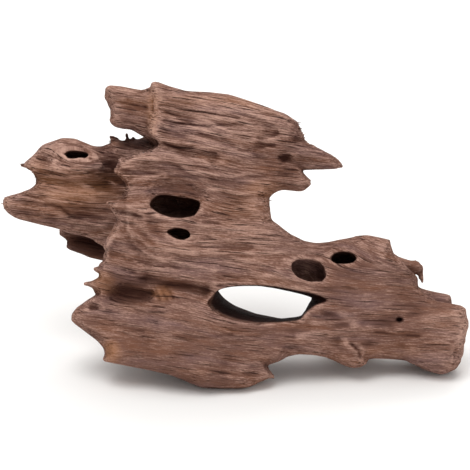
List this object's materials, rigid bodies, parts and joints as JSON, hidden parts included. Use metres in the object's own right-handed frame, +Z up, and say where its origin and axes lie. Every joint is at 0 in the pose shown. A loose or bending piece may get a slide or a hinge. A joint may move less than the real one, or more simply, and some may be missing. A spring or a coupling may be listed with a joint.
{
  "type": "piece of driftwood",
  "caption": "Weathered driftwood root, leaning back on worn feet, with split lobes, blind bore holes and an oval window right through its lower part.",
  "frame": {"origin": "on the floor, under the middle of the wood's box", "axes": "+X along the wood and its grain, to the right of the broad face; +Y to the back; +Z up"},
  "size_m": [0.2997, 0.1462, 0.182],
  "materials": {
    "driftwood": "weathered matte"
  },
  "bodies": {
    "root": {"driftwood": "driftwood"}
  },
  "joints": []
}
